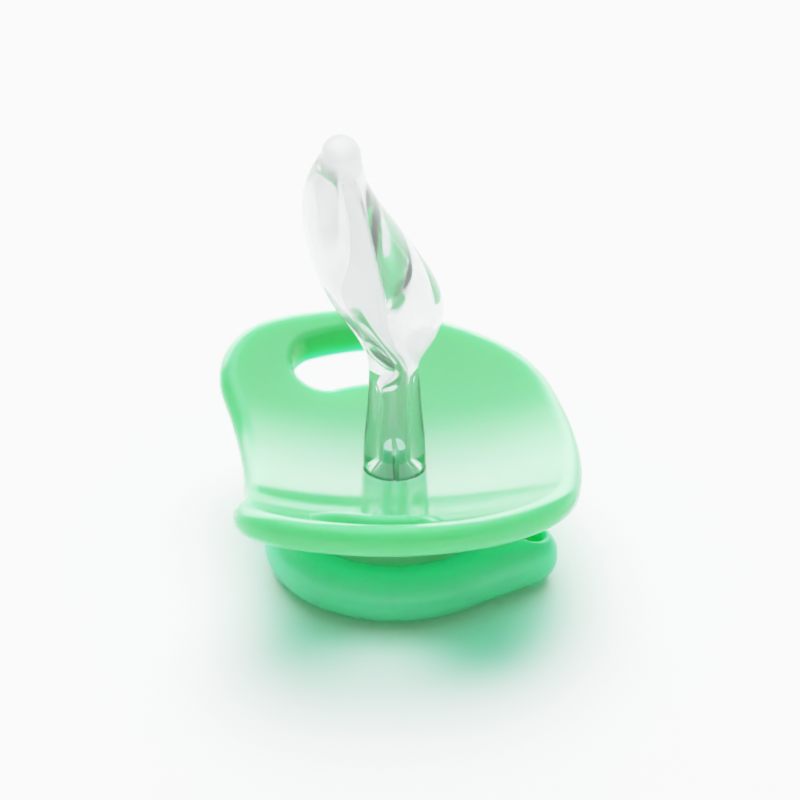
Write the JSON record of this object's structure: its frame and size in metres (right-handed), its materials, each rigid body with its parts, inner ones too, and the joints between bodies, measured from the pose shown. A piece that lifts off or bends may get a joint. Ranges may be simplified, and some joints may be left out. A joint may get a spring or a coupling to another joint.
{
  "type": "pacifier",
  "caption": "Pacifier: hollow slanted clear teat, dished oval guard shield with air holes, and a round rear button with a strap lug that turns on a central pin.",
  "frame": {"origin": "centre of the button's flat rear face, on which the pacifier stands", "axes": "+Z from the button to the teat's tip; +X towards the chin side, -X the nose side with the shield's notch; Y from cheek to cheek"},
  "size_m": [0.034, 0.0458, 0.0455],
  "materials": {
    "clear_silicone": "clear silicone rubber, smooth and glossy",
    "green_gloss": "polished mint green polypropylene",
    "green_inner": "moulded mint green polypropylene",
    "green_satin": "mint green polypropylene, softer gloss"
  },
  "bodies": {
    "guard": {"shield": "green_gloss", "teat": "clear_silicone", "teat_plug": "green_inner"},
    "button": {"knob": "green_satin", "knob_cover": "green_satin"}
  },
  "joints": [
    {"name": "button_turn", "type": "hinge", "parent": "guard", "child": "button", "pos_m": [0, 0, 0.0039], "axis": [0, 0, 1], "continuous": true}
  ]
}
